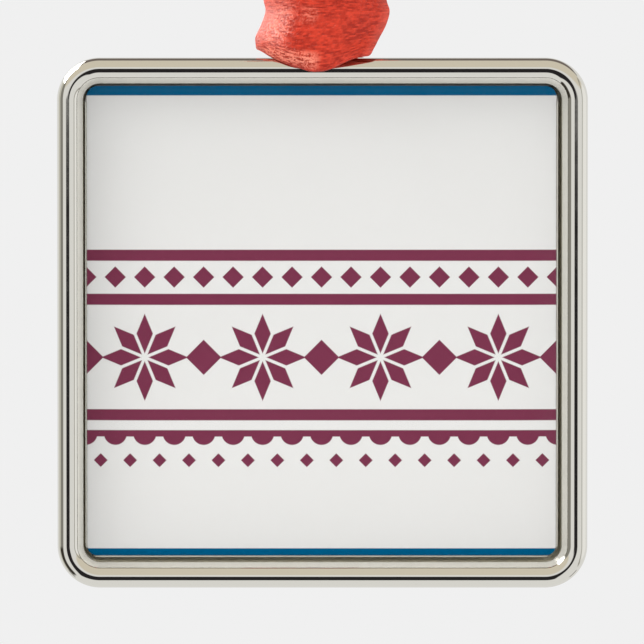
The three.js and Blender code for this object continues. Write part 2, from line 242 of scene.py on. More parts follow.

# %% [markdown]
# Nickel plate over a polished zinc casting. Nickel is a warm grey metal, darker and yellower than chrome.
# The polish leaves faint waves and a few nicks, which make the reflected lines tremble. The crease between
# the two beads is painted a darker grey: a painted shade for the dark line that the crease shows. Where the
# wheel didn't reach, down in the gap round the insert, the casting is dull and its grain shows and glints,
# and there it is also painted pale: a painted light that brightens the shaded gap. The flat back was only
# ground on a belt, which leaves level lines. Real ones are about 0.1 mm apart. Here they are 0.3 mm, so that
# they show. One material does it all, because it is one casting: the place on the piece decides how each
# part of it is finished.

# %% A helper for materials
def new_material(name):
    """An empty material with its Principled shader, as (material, tree, shader)."""
    material = bpy.data.materials.new(name)
    material.use_nodes = True
    shader = material.node_tree.nodes["Principled BSDF"]
    return material, material.node_tree, shader


# %% Nickel plate: where it is polished, cast or ground
nickel, tree, shader = new_material("nickel plate, polished")
place = add(tree, "TexCoord").node.outputs["Object"]
wave_size, nick_size, grain_size = 2.2 * MM, 0.35 * MM, 0.16 * MM
polish_fades = bezel_front + 1.35 * MM, bezel_front + 1.8 * MM
inside_back = bezel_back - 0.3 * MM, bezel_back - 0.5 * MM
inside_rim = bezel_size / 2 - 1 * MM, bezel_size / 2 - 2 * MM
back_starts = bezel_back - 0.3 * MM, bezel_back - 0.1 * MM
waves = add(tree, "TexNoise", named={"Vector": place, "Scale": 1 / wave_size, "Detail": 1})
nicks = add(tree, "TexNoise", named={"Vector": place, "Scale": 1 / nick_size, "Detail": 2})
grain = add(tree, "TexNoise", named={"Vector": place, "Scale": 1 / grain_size, "Detail": 2})
depth = add(tree, "SeparateXYZ", place).node.outputs["Y"]
centred = add(tree, "VectorMath", place, (0, 0, bezel_middle), operation="SUBTRACT")
centred = add(tree, "SeparateXYZ", add(tree, "VectorMath", centred, operation="ABSOLUTE")).node.outputs
reach = add(tree, "Math", centred["X"], centred["Z"], operation="MAXIMUM")
# The dull casting in the gap is also painted pale below: a painted light that brightens the shaded gap.
unpolished_painted_light = add(tree, "MapRange", depth, *polish_fades, 0, 1)
for direction, limits in ((depth, inside_back), (reach, inside_rim)):
    inside = add(tree, "MapRange", direction, *limits, 0, 1)
    unpolished_painted_light = add(tree, "Math", unpolished_painted_light, inside, operation="MULTIPLY")
# Where the crease is marked, the colour below gets a painted shade.
crease_shade = add(tree, "Attribute", attribute_name="crease_shade").node.outputs["Fac"]
belt_line, belt_run = 0.3 * MM, 14 * MM
belt = add(tree, "VectorMath", place, (1 / belt_run, 0, 1 / belt_line), operation="MULTIPLY")
belt = add(tree, "TexNoise", named={"Vector": belt, "Scale": 1, "Detail": 3})
on_back = add(tree, "MapRange", depth, *back_starts, 0, 1)
belt = add(tree, "Math", add(tree, "MapRange", belt, 0.35, 0.65, 0, 1), on_back, operation="MULTIPLY")
print("polish fades", [round((limit - bezel_front) / MM, 2) for limit in polish_fades], "mm behind the front")

# %% Nickel plate: colour, relief and roughness
shade = linear("E6E4DC")
# Over the nickel go belt lines, a pale painted light in the dull gap and a painted shade in the crease.
for cover, colour in ((belt, "D2CFC4"), (unpolished_painted_light, "F0EAD6"), (crease_shade, "77746C")):
    mix = add(tree, "Mix", data_type="RGBA", named={MASK: cover, UNDER: shade, OVER: linear(colour)})
    shade = mix.node.outputs[MIXED]
tree.links.new(shade, shader.inputs["Base Color"])
metal = add(tree, "Math", 1, unpolished_painted_light, operation="SUBTRACT")
tree.links.new(metal, shader.inputs["Metallic"])
grain = add(tree, "Math", grain, unpolished_painted_light, operation="MULTIPLY")
nick_share = 0.15
height = add(tree, "Math", add(tree, "Math", nicks, nick_share, operation="MULTIPLY"), waves, operation="ADD")
bump = add(tree, "Bump", named={"Strength": 0.12, "Distance": 0.02 * MM, "Height": height})
bump = add(tree, "Bump", named={"Strength": 1, "Distance": 0.08 * MM, "Height": grain, "Normal": bump})
bump = add(tree, "Bump", named={"Strength": 0.4, "Distance": 0.01 * MM, "Height": belt, "Normal": bump})
tree.links.new(bump, shader.inputs["Normal"])
polished_least, polished_most = 0.03, 0.07
rough = add(tree, "MapRange", waves, 0.3, 0.7, polished_least, polished_most)
for cover, added_roughness in ((unpolished_painted_light, 0.5), (on_back, 0.1), (belt, 0.15)):
    rough = add(tree, "Math", cover, added_roughness, rough, operation="MULTIPLY_ADD")
tree.links.new(rough, shader.inputs["Roughness"])
print("nickel plate of", len(tree.nodes), "nodes")


# %% [markdown]
# The bezel is a square tray whose rim steps down in two rounded beads. It could be a box with bevelled
# edges, but a bevel has one roundness. A lathe can't turn a square, but a spin can make its corners: the
# rim's profile is a chain of points at the middle of one side, extruded along the side and spun a quarter
# turn round the corner's centre, four times. Every reflection then runs round the frame without a kink.

# %% Bezel: profile of the rim
rim_depth = bezel_back - bezel_front
corner_radius = 4.6 * MM
back_edge = 0.8 * MM
bead_outside, bead_inside = 1.2 * MM, 1.325 * MM
crease_slope = math.radians(46)
inner_start, inner_end = math.radians(47), math.radians(52)
rim_width = 2.775 * MM
wall_draft = 0.1 * MM
tray_floor = 0.8 * MM
tray_fillet = 0.8 * MM
crease_inset = bead_outside + bead_inside * math.sin(crease_slope)
crease_height = rim_depth - bead_inside * (1 - math.cos(crease_slope))


def arc(centre, radius, start, end, steps):
    """Points round a centre from one angle to another, both in degrees and both included."""
    angles = [math.radians(start + (end - start) * step / steps) for step in range(steps + 1)]
    return [(centre[0] + radius * math.cos(a), centre[1] + radius * math.sin(a)) for a in angles]


def rim_profile():
    """(inset, height) pairs, insets from the outside and heights forwards from the back face."""
    inner = (rim_width - crease_inset) / (math.sin(inner_end) - math.sin(inner_start))
    inner_centre = (
        crease_inset - inner * math.sin(inner_start), crease_height - inner * math.cos(inner_start),
    )
    fillet_centre = (rim_width + wall_draft + tray_fillet, tray_floor + tray_fillet)
    turn = math.degrees
    return (
        arc((back_edge, back_edge), back_edge, 270, 180, steps=6)
        + arc((bead_outside, rim_depth - bead_outside), bead_outside, 180, 90, steps=20)
        + arc((bead_outside, rim_depth - bead_inside), bead_inside, 90, 90 - turn(crease_slope), steps=16)[1:]
        + arc(inner_centre, inner, 90 - turn(inner_start), 90 - turn(inner_end), steps=14)[1:]
        + arc(fillet_centre, tray_fillet, 180, 270, steps=4)
    )


profile = rim_profile()
print("rim profile of", len(profile), "points")


# %% Helpers for meshes
merge_reach = 1e-6


def finish_mesh(mesh, name, sharp=30):
    """Turns a bmesh into an object with smooth faces and sharp edges, at the origin."""
    bmesh.ops.remove_doubles(mesh, verts=mesh.verts, dist=merge_reach)
    bmesh.ops.recalc_face_normals(mesh, faces=mesh.faces)
    for face in mesh.faces:
        face.smooth = True
    piece = bpy.data.objects.new(name, bpy.data.meshes.new(name))
    mesh.to_mesh(piece.data)
    mesh.free()
    piece.data.set_sharp_from_angle(angle=math.radians(sharp))
    bpy.context.scene.collection.objects.link(piece)
    return piece


def only(made, kind):
    """The points or the edges among what an operator made."""
    return [part for part in made if isinstance(part, kind)]


def carry(mesh, edges, step):
    """Extrudes open edges along a straight step and gives the new ones."""
    made = bmesh.ops.extrude_edge_only(mesh, edges=edges)["geom"]
    bmesh.ops.translate(mesh, verts=only(made, bmesh.types.BMVert), vec=step)
    return only(made, bmesh.types.BMEdge)


# %% Bezel: the profile carried round the square
half = bezel_size / 2
half_run = half - corner_radius
middle = Vector((0, 0, bezel_middle))
mesh = bmesh.new()
chain = [mesh.verts.new((half - inset, bezel_back - height, bezel_middle)) for inset, height in profile]
edges = [mesh.edges.new(pair) for pair in zip(chain, chain[1:])]
for side in range(4):
    turn = Matrix.Rotation(-side * math.pi / 2, 3, "Y")
    edges = carry(mesh, edges, turn @ Vector((0, 0, half_run)))
    ends = list({vert for edge in edges for vert in edge.verts})
    corner = middle + turn @ Vector((half_run, 0, half_run))
    made = bmesh.ops.spin(
        mesh, geom=ends + edges, cent=corner, axis=(0, -1, 0), angle=math.pi / 2, steps=32, use_merge=False,
    )
    edges = only(made["geom_last"], bmesh.types.BMEdge)
    edges = carry(mesh, edges, turn @ Vector((-half_run, 0, 0)))
bmesh.ops.remove_doubles(mesh, verts=mesh.verts, dist=merge_reach)
bmesh.ops.holes_fill(mesh, edges=mesh.edges)
# The crease between the beads is marked for a painted shade, a thin darker line in the nickel's colour.
crease_shade_reach = 0.04 * MM
crease_shade = mesh.verts.layers.float.new("crease_shade")
for vert in mesh.verts:
    inset = half - max(abs(vert.co.x), abs(vert.co.z - bezel_middle))
    in_crease = abs(bezel_back - vert.co.y - crease_height) < crease_shade_reach and inset > bead_outside
    vert[crease_shade] = 1 if in_crease else 0
print("tray of", len(mesh.faces), "faces")

# %% [markdown]
# The eye is cast on the top of the rim: a flat ring with softened edges, whose foot flares into the metal.
# A torus would be too round for it. Its two outlines are chains of arcs, filled between, extruded to its
# thickness and bevelled.

# %% Bezel: eye
eye_wall, eye_edge, eye_root = 1.35 * MM, 0.3 * MM, 1 * MM
eye_thickness = 1.8 * MM
hole_reach, hole_radius = 0.9 * MM, 1.3 * MM
hole_middle = 2.2 * MM
ring_radius = hole_radius + eye_edge + eye_wall
eye_flare = 0.8 * MM
eye_bevel = eye_edge * 0.8
foot = hole_reach + ring_radius + eye_flare


def closed_chain(mesh, points):
    """Joins points of the eye's front face, heights from the bezel's top, into a closed chain of edges."""
    ring = [mesh.verts.new((x, -eye_thickness / 2, bezel_top + z)) for x, z in points]
    return [mesh.edges.new(pair) for pair in zip(ring, ring[1:] + ring[:1])]


right_side = [(foot, -eye_root)] + arc((foot, eye_flare), eye_flare, -90, -180, steps=8)
right_side += arc((hole_reach, hole_middle), ring_radius, 0, 90, steps=12)
left_side = [(-x, z) for x, z in reversed(right_side)]
hole = arc((hole_reach, hole_middle), hole_radius, -90, 90, steps=16)
hole += [(-x, z) for x, z in reversed(hole)]
eye = bmesh.new()
edges = closed_chain(eye, right_side + left_side) + closed_chain(eye, hole)
bmesh.ops.triangle_fill(eye, use_beauty=True, edges=edges)
made = bmesh.ops.extrude_face_region(eye, geom=eye.faces[:])["geom"]
bmesh.ops.translate(eye, verts=only(made, bmesh.types.BMVert), vec=(0, eye_thickness, 0))
bmesh.ops.recalc_face_normals(eye, faces=eye.faces)
rims = [edge for edge in eye.edges if edge.is_manifold and edge.calc_face_angle() > math.radians(60)]
bmesh.ops.bevel(
    eye, geom=rims, offset=eye_bevel, offset_type="OFFSET", affect="EDGES", segments=3, profile=0.5,
    material=-1,
)
cast = bpy.data.meshes.new("eye")
eye.to_mesh(cast)
eye.free()
mesh.from_mesh(cast)
bezel = finish_mesh(mesh, "bezel_casting")
bezel.data.materials.append(nickel)
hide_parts("bezel")
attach(bezel, "ornament")
print("bezel of", len(bezel.data.polygons), "faces")

# %% [markdown]
# The parts inside the insert can't be seen from outside. They keep the engineering model's shapes and get
# the finish of what they are made of: bright rolled tinplate with fine lines along the rolling direction,
# and matt foam tape with cells of about a quarter of a millimetre.

# %% Tinplate
tinplate, tree, shader = new_material("tinplate, rolled")
shader.inputs["Metallic"].default_value = 1
place = add(tree, "TexCoord").node.outputs["Object"]
roll_line, roll_run = 0.25 * MM, 50 / 3 * MM
roll_scale = (1 / roll_line, 1 / roll_line, 1 / roll_run)
roll_lines = add(tree, "VectorMath", place, roll_scale, operation="MULTIPLY")
roll_lines = add(tree, "TexNoise", named={"Vector": roll_lines, "Scale": 1, "Detail": 2})
tones = {UNDER: linear("A9AAA8"), OVER: linear("C6C6C2")}
mix = add(tree, "Mix", data_type="RGBA", named={MASK: roll_lines, **tones})
tree.links.new(mix.node.outputs[MIXED], shader.inputs["Base Color"])
rough = add(tree, "MapRange", roll_lines, 0, 1, 0.25, 0.4)
tree.links.new(rough, shader.inputs["Roughness"])
print("tinplate of", len(tree.nodes), "nodes")

# %% Foam, and the finishes of the hidden parts
foam, tree, shader = new_material("foam tape, closed cell")
shader.inputs["Roughness"].default_value = 0.9
place = add(tree, "TexCoord").node.outputs["Object"]
cell_size = 0.25 * MM
cells = add(tree, "TexVoronoi", named={"Vector": place, "Scale": 1 / cell_size})
tones = {UNDER: linear("D8D4C8"), OVER: linear("F4F2EC")}
mix = add(tree, "Mix", data_type="RGBA", named={MASK: cells, **tones})
tree.links.new(mix.node.outputs[MIXED], shader.inputs["Base Color"])
bump = add(tree, "Bump", named={"Strength": 0.5, "Distance": 0.05 * MM, "Height": cells})
tree.links.new(bump, shader.inputs["Normal"])

for name, material in {"insert_shell": tinplate, "back_plate": tinplate, "foam_pad": foam}.items():
    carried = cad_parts[name]
    carried.data.materials.clear()
    carried.data.materials.append(material)
    print(name, "gets", material.name)

# %% [markdown]
# The printed sheet is smooth coated paper. Its ground is a cool white between two plain blue edge stripes,
# and across it runs a knitted-sweater border in dark red: eight-pointed stars, lozenges, plain rules and a
# scalloped hem. A picture file would be the usual way. The border is drawn with arithmetic on each point's
# place in millimetres instead, so its edges stay sharp at any distance. Repeats come from folding the
# coordinate, as paper is folded to cut snowflakes. The inks are left out of what the metal mirrors, which
# keeps the rim's lines clean. The whole print is painted darker towards its edges, most at the left and the
# top: a painted shade.

# %% Printed sheet: place in millimetres, ink and folds
insert_low, insert_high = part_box("clear_film")
insert_middle = (insert_low + insert_high) / 2
press_spread = 0.08 * MM
insert_half = (insert_high.x - insert_low.x) / 2 + press_spread

paper, tree, shader = new_material("paper, printed and gloss laminated")
place = add(tree, "TexCoord").node.outputs["Object"]
place = add(tree, "VectorMath", place, (insert_middle.x, 0, insert_middle.z), operation="SUBTRACT")
place = add(tree, "VectorMath", place, None, None, 1 / MM, operation="SCALE")
axes = add(tree, "SeparateXYZ", place).node
across, along = axes.outputs["X"], axes.outputs["Z"]
edge_softness = 0.04


def inked(distance):
    """1 inside a motif, where its distance is below 0, and 0 outside, with a soft edge."""
    return add(tree, "MapRange", distance, edge_softness, -edge_softness, 0, 1)


def near(axis, place, reach):
    """Ink within reach of a place on an axis."""
    shifted = add(tree, "Math", axis, place, operation="SUBTRACT")
    away = add(tree, "Math", add(tree, "Math", shifted, operation="ABSOLUTE"), reach, operation="SUBTRACT")
    return inked(away)


def folded(axis, pitch, start=0.0):
    """Distance along an axis from the nearest of many middles, a pitch apart."""
    shifted = add(tree, "Math", axis, start + pitch / 2, operation="ADD")
    repeated = add(tree, "Math", shifted, pitch, operation="FLOORED_MODULO")
    repeated = add(tree, "Math", repeated, pitch / 2, operation="SUBTRACT")
    return add(tree, "Math", repeated, operation="ABSOLUTE")


def from_middle(wide, lift):
    """A point's distance from a motif's middle."""
    square = add(tree, "Math", lift, lift, operation="MULTIPLY")
    square = add(tree, "Math", wide, wide, square, operation="MULTIPLY_ADD")
    return add(tree, "Math", square, operation="SQRT")


print("print measured from", [round(value / MM, 2) for value in insert_middle], "mm")


# %% Printed sheet: motifs
def lozenges(height, pitch, reach, start=0.0):
    """A row of lozenges."""
    lift = add(tree, "Math", add(tree, "Math", along, height, operation="SUBTRACT"), operation="ABSOLUTE")
    away = add(tree, "Math", folded(across, pitch, start), lift, operation="ADD")
    return inked(add(tree, "Math", away, reach, operation="SUBTRACT"))


half_ray = math.pi / 8
star_gap = 0.16


def stars(height, pitch, reach, start=0.0):
    """A row of eight-pointed stars, each of eight rhombs with a fine gap between them."""
    wide = folded(across, pitch, start)
    lift = add(tree, "Math", along, height, operation="SUBTRACT")
    angle = add(tree, "Math", lift, wide, operation="ARCTAN2")
    angle = add(tree, "Math", angle, half_ray, operation="PINGPONG")
    radius = from_middle(wide, lift)
    out = add(tree, "Math", radius, add(tree, "Math", angle, operation="COSINE"), operation="MULTIPLY")
    aside = add(tree, "Math", radius, add(tree, "Math", angle, operation="SINE"), operation="MULTIPLY")
    slope = math.tan(half_ray)
    tip = add(tree, "Math", add(tree, "Math", out, slope, operation="MULTIPLY"), aside, operation="ADD")
    tip = add(tree, "Math", tip, reach * slope, operation="SUBTRACT")
    split = add(tree, "Math", add(tree, "Math", half_ray, angle, operation="SUBTRACT"), operation="SINE")
    split = add(tree, "Math", radius, split, operation="MULTIPLY")
    split = add(tree, "Math", star_gap, split, operation="SUBTRACT")
    return add(tree, "Math", inked(tip), inked(split), operation="MULTIPLY")


def scallops(height, pitch, reach):
    """A hem of half discs that hang from a line."""
    wide = folded(across, pitch)
    lift = add(tree, "Math", along, height, operation="SUBTRACT")
    disc = inked(add(tree, "Math", from_middle(wide, lift), reach, operation="SUBTRACT"))
    return add(tree, "Math", disc, inked(lift), operation="MULTIPLY")


star_pitch = 12.7
small_pitch = star_pitch / 4
rule = 0.6
motifs = [
    near(along, 7.1, rule),
    lozenges(4.75, small_pitch, 1.15),
    near(along, 2.35, rule),
    stars(-3.9, star_pitch, 4.7, star_pitch / 2),
    lozenges(-3.9, star_pitch, 1.9),
    near(along, -10.1, rule),
    scallops(-12.1, small_pitch, 1.25),
    near(along, -12.1, 0.35),
    lozenges(-15.0, small_pitch, 0.75, small_pitch / 2),
]
print(len(motifs), "rows of motifs")

# %% Printed sheet: border, stripes and paper
border = motifs[0]
for motif in motifs[1:]:
    border = add(tree, "Math", border, motif, operation="MAXIMUM")
unmirrored = add(tree, "Math", 1, add(tree, "LightPath").node.outputs["Is Glossy Ray"], operation="SUBTRACT")
border = add(tree, "Math", border, unmirrored, operation="MULTIPLY")
stripe_top, stripe_bottom = 24.3, -24.53
above = inked(add(tree, "Math", stripe_top, along, operation="SUBTRACT"))
below = inked(add(tree, "Math", along, stripe_bottom, operation="SUBTRACT"))
stripes = add(tree, "Math", above, below, operation="MAXIMUM")
stripes = add(tree, "Math", stripes, unmirrored, operation="MULTIPLY")
shade = linear("F0F2F4")
for ink, colour in ((border, "7F3A54"), (stripes, "00608F")):
    mix = add(tree, "Mix", data_type="RGBA", named={MASK: ink, UNDER: shade, OVER: linear(colour)})
    shade = mix.node.outputs[MIXED]
tone = 1
# Painted shade. Axis, 1 for the edge at its low end or -1 for the high one, how much darker, and over how
# many mm.
painted_edge_shade = [(across, 1, 0.24, 3.6), (across, -1, 0.05, 4), (along, -1, 0.25, 3.2), (along, 1, 0.10, 6)]
for axis, sign, depth, reach in painted_edge_shade:
    away = add(tree, "Math", axis, sign, insert_half / MM, operation="MULTIPLY_ADD")
    fade = add(tree, "Math", away, -1 / reach, operation="MULTIPLY")
    fade = add(tree, "Math", math.e, fade, operation="POWER")
    darker = add(tree, "Math", fade, -depth, 1, operation="MULTIPLY_ADD")
    tone = add(tree, "Math", tone, darker, operation="MULTIPLY")
shade = add(tree, "VectorMath", shade, None, None, tone, operation="SCALE")
tree.links.new(shade, shader.inputs["Base Color"])
shader.inputs["Roughness"].default_value = 0.45
shader.inputs["Specular IOR Level"].default_value = 0
shader.inputs["Coat Weight"].default_value = 0.15
shader.inputs["Coat Roughness"].default_value = 0.06
print("printed sheet of", len(tree.nodes), "nodes")

# %% [markdown]
# The film over the print is clear polyester. It could be glass with refraction, but at 0.1 mm that only
# costs time. It is drawn as a skin that covers almost nothing, except over the insert's shoulder, where it is
# painted pale and less clear: a painted highlight along the edge, weakest along the top, where the edge is
# in shade.

# %% Film
film, tree, shader = new_material("polyester film, clear")
place = add(tree, "TexCoord").node.outputs["Object"]
place = add(tree, "VectorMath", place, (insert_middle.x, 0, insert_middle.z), operation="SUBTRACT")
axes = add(tree, "SeparateXYZ", add(tree, "VectorMath", place, operation="ABSOLUTE")).node.outputs
reach = add(tree, "Math", axes["X"], axes["Z"], operation="MAXIMUM")
shoulder = insert_half - 0.24 * MM, insert_half - 0.08 * MM
top_shoulder = insert_half - 0.16 * MM, insert_half - 0.06 * MM
top_fades = insert_half - 1 * MM, insert_half - 2 * MM
top_highlight = 0.4
clear_cover, highlight_cover = 0.04, 0.75
# A painted highlight: the shoulder is painted pale and less clear, least along the top edge.
edge_highlight = add(tree, "MapRange", reach, *shoulder, 0, 1)
height = add(tree, "SeparateXYZ", place).node.outputs["Z"]
below_top = add(tree, "MapRange", height, *top_fades, 0, 1)
edge_highlight = add(tree, "Math", edge_highlight, below_top, operation="MULTIPLY")
top_edge_highlight = add(tree, "MapRange", height, *top_shoulder, 0, top_highlight)
edge_highlight = add(tree, "Math", edge_highlight, top_edge_highlight, operation="MAXIMUM")
tones = {UNDER: linear("101010"), OVER: linear("E4E4DC")}
mix = add(tree, "Mix", data_type="RGBA", named={MASK: edge_highlight, **tones})
tree.links.new(mix.node.outputs[MIXED], shader.inputs["Base Color"])
tree.links.new(add(tree, "MapRange", edge_highlight, 0, 1, clear_cover, highlight_cover), shader.inputs["Alpha"])
shader.inputs["Roughness"].default_value = 0.06
shader.inputs["IOR"].default_value = 1.6
print("film of", len(tree.nodes), "nodes")

# %% [markdown]
# Film, print and shell are pressed together: a flat face with a crown that falls gently over its last 9 mm,
# a tight rounded shoulder, a straight side and a hem. The press spreads the two upper layers 0.08 mm
# further out than the engineering model draws them. Each skin starts as a grid. Its corner points are drawn
# in to round the corners, the crown lowers the rest, and the open edge is extruded outwards and back along
# the shoulder and side. Solidify gives it its thickness. A bevelled box would be quicker, but has no crown
# and no hem.

# %% Insert: how a skin is pressed
insert_corner = 1.425 * MM
press_turn = 0.16 * MM
crown_drop, crown_width = 0.45 * MM, 9 * MM
hem_width = 1.7 * MM
insert_back = insert_high.y
face_half = insert_half - press_turn
face_corner = insert_corner - press_turn
straight = face_half - face_corner
turn_steps = 6


def nearest_straight(x, z):
    """The nearest place inside the corner centres, from which a rounded corner is measured."""
    return Vector((min(max(x, -straight), straight), min(max(z, -straight), straight)))


def side_steps(offset):
    """How far out and back the open edge goes: round the shoulder, down the side and in along the hem."""
    radius = press_turn - offset
    side_end = insert_back - insert_low.y - crown_drop - 2 * offset
    angles = [math.radians(90 / turn_steps * step) for step in range(1, turn_steps + 1)]
    turns = [(radius * math.sin(angle), radius * (1 - math.cos(angle))) for angle in angles]
    back_turns = [(out, side_end - back) for out, back in reversed(turns[:-1])]
    return turns + back_turns + [(0, side_end), (press_turn - hem_width, side_end)]


def pressed_skin(name, offset, thickness):
    """One layer of the insert, its outer face an offset inside the film's."""
    mesh = bmesh.new()
    bmesh.ops.create_grid(mesh, x_segments=96, y_segments=96, size=face_half)
    shoulder = insert_low.y + crown_drop + offset
    for vert in mesh.verts:
        x, z = vert.co.x, vert.co.y
        base = nearest_straight(x, z)
        out = Vector((x, z)) - base
        if out.x and out.y:
            out *= max(abs(out.x), abs(out.y)) / out.length
        fall = [max(0, abs(axis) - face_half + crown_width) / crown_width for axis in (x, z)]
        crown = (1 - min(fall[0], 1) ** 2) * (1 - min(fall[1], 1) ** 2)
        vert.co = (base.x + out.x, shoulder - crown_drop * crown, base.y + out.y)
    rim = [edge for edge in mesh.edges if edge.is_boundary]
    for outward, back in side_steps(offset):
        made = bmesh.ops.extrude_edge_only(mesh, edges=rim)["geom"]
        rim = only(made, bmesh.types.BMEdge)
        for vert in only(made, bmesh.types.BMVert):
            x, z = vert.co.x, vert.co.z
            base = nearest_straight(x, z)
            direction = (Vector((x, z)) - base).normalized()
            place = base + direction * (face_corner + outward)
            vert.co = (place.x, shoulder + back, place.y)
    bmesh.ops.recalc_face_normals(mesh, faces=mesh.faces)
    bmesh.ops.solidify(mesh, geom=mesh.faces[:], thickness=thickness)
    bmesh.ops.translate(mesh, verts=mesh.verts, vec=(insert_middle.x, 0, insert_middle.z))
    return finish_mesh(mesh, name, sharp=40)


print("side of a skin in", len(side_steps(0)), "steps")

# %% Insert: film and print
film_thickness, print_thickness = 0.1 * MM, 0.12 * MM
print_offset = 0.13 * MM
layers = {
    "film_skin": ("clear_film", 0, film_thickness, film, "clear_film"),
    "print_skin": ("printed_sheet", print_offset, print_thickness, paper, "printed_paper"),
}
for name, (node, offset, thickness, material, slot) in layers.items():
    skin = pressed_skin(name, offset, thickness)
    skin.data.materials.append(material)
    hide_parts(node)
    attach(skin, "ornament")
    print(name, "of", len(skin.data.polygons), "faces")

# %% [markdown]
# The ribbon is woven satin. Each weft thread runs straight across and floats over the others in short
# lengths, so the sheen breaks up into level streaks with ragged ends. The pattern reads the ribbon's own UV
# map, in metres, so it bends with the cloth: the place along the ribbon is cut into threads, and every
# thread gets its own noise along its length. The threads are 0.21 mm apart, two pixels of the photograph,
# so that they show. A finer noise adds glints. The two woven edges are denser and paler. Round the fold at
# the rim and over two soft patches, one along the left side, pale pink speckles are painted on: a painted
# sheen where the cloth catches the light. The strips carry an attribute that says how much. The shader's
# anisotropy draws each highlight out into a band, as parallel threads do, along the directions of the same
# UV map.

# %% Satin: threads
ribbon_width = 15 * MM
satin, tree, shader = new_material("satin ribbon, woven")
weave = add(tree, "UVMap", uv_map="weave")
parts = add(tree, "SeparateXYZ", weave).node
float_length, thread = 1.1 * MM, 0.21 * MM
wander_size, wander_reach = 5 * MM, 0.7 * MM
broad_length, broad_height = 3 * MM, 1.2 * MM
glint_size = 0.2 * MM
noise_step = 7.3
wander = add(tree, "TexNoise", named={"Vector": weave, "Scale": 1 / wander_size, "Detail": 0})
wander = add(tree, "Math", wander, wander_reach, operation="MULTIPLY")
lie = add(tree, "Math", wander, parts.outputs["Y"], operation="ADD")
weft = add(tree, "Math", add(tree, "Math", lie, 1 / thread, operation="MULTIPLY"), operation="FLOOR")
run = add(tree, "Math", parts.outputs["X"], 1 / float_length, operation="MULTIPLY")
floats = add(tree, "CombineXYZ", run, add(tree, "Math", weft, noise_step, operation="MULTIPLY"), 0)
floats = add(tree, "TexNoise", named={"Vector": floats, "Scale": 1, "Detail": 2, "Roughness": 0.6})
broad = add(tree, "VectorMath", weave, (1 / broad_length, 1 / broad_height, 1), operation="MULTIPLY")
broad = add(tree, "TexNoise", named={"Vector": broad, "Scale": 1, "Detail": 1})
glint = add(tree, "TexNoise", named={"Vector": weave, "Scale": 1 / glint_size, "Detail": 1})


def blended(first, second, share):
    """A share of the first pattern and the rest of the second."""
    first = add(tree, "Math", first, share, operation="MULTIPLY")
    return add(tree, "Math", second, 1 - share, first, operation="MULTIPLY_ADD")


tone = add(tree, "MapRange", blended(floats, broad, 0.8), 0.40, 0.60, 0, 1)
print("satin threads every", round(thread / MM, 2), "mm")

# %% Satin: colour and sheen
most_sheen, most_selvedge = 0.9, 0.2
selvedge_width, selvedge_edge = 1.4 * MM, 0.1 * MM
sheen_speckles = add(tree, "MapRange", blended(glint, floats, 0.4), 0.44, 0.56, 0, most_sheen)
sheen_paint = add(tree, "Attribute", attribute_name="painted_sheen").node.outputs["Fac"]
sheen_paint = add(tree, "Math", sheen_paint, sheen_speckles, operation="MULTIPLY")
aside = add(tree, "Math", parts.outputs["X"], operation="ABSOLUTE")
woven_edge = ribbon_width / 2 - selvedge_width, ribbon_width / 2 - selvedge_edge
selvedge = add(tree, "MapRange", aside, *woven_edge, 0, most_selvedge)
shade = linear("A41D10")
# The pale pink speckles over the marked places are a painted sheen.
for cover, colour in ((tone, "D93D29"), (sheen_paint, "FF9C86"), (selvedge, "F08A80")):
    mix = add(tree, "Mix", data_type="RGBA", named={MASK: cover, UNDER: shade, OVER: linear(colour)})
    shade = mix.node.outputs[MIXED]
tree.links.new(shade, shader.inputs["Base Color"])
glint_relief = 0.5
relief = add(tree, "Math", glint, glint_relief, floats, operation="MULTIPLY_ADD")
bump = add(tree, "Bump", named={"Strength": 1, "Distance": 0.16 * MM, "Height": relief})
tree.links.new(bump, shader.inputs["Normal"])
tree.links.new(add(tree, "Tangent", direction_type="UV_MAP", uv_map="weave"), shader.inputs["Tangent"])
shader.inputs["Anisotropic"].default_value = 0.9
shader.inputs["Anisotropic Rotation"].default_value = 0.25
shader.inputs["Roughness"].default_value = 0.36
shader.inputs["Specular IOR Level"].default_value = 0.5
shader.inputs["Specular Tint"].default_value = linear("FFECDC")
shader.inputs["Sheen Weight"].default_value = 0.05
shader.inputs["Sheen Roughness"].default_value = 0.35
shader.inputs["Sheen Tint"].default_value = linear("FFA098")
print("satin of", len(tree.nodes), "nodes")


# %% [markdown]
# The whole ribbon is one 15 mm strip. It is made in stretches, because it bends where the ornament swings
# and twists where it turns. A cloth simulation would find its folds by itself, but not the same ones as in
# the photograph. So each stretch is a flat grid, whose rows are then laid along a few listed sections,
# as a dressmaker pins cloth at a few places and lets it fall between them. A smooth curve through the
# sections gives the rows between.

# %% Ribbon: helpers that lay a strip along sections
cloth_thickness = 0.2 * MM


def between(rows, share):
    """The row at a share of the way along rows of equally many numbers, on a smooth curve through them."""
    place = share * (len(rows) - 1)
    here = min(int(place), len(rows) - 2)
    t = place - here
    before, start, end, after = (rows[min(max(here + step, 0), len(rows) - 1)] for step in (-1, 0, 1, 2))
    weights = (
        (-t + 2 * t ** 2 - t ** 3) / 2, (2 - 5 * t ** 2 + 3 * t ** 3) / 2,
        (t + 4 * t ** 2 - 3 * t ** 3) / 2, (-t ** 2 + t ** 3) / 2,
    )
    return [sum(w * value for w, value in zip(weights, column)) for column in zip(before, start, end, after)]


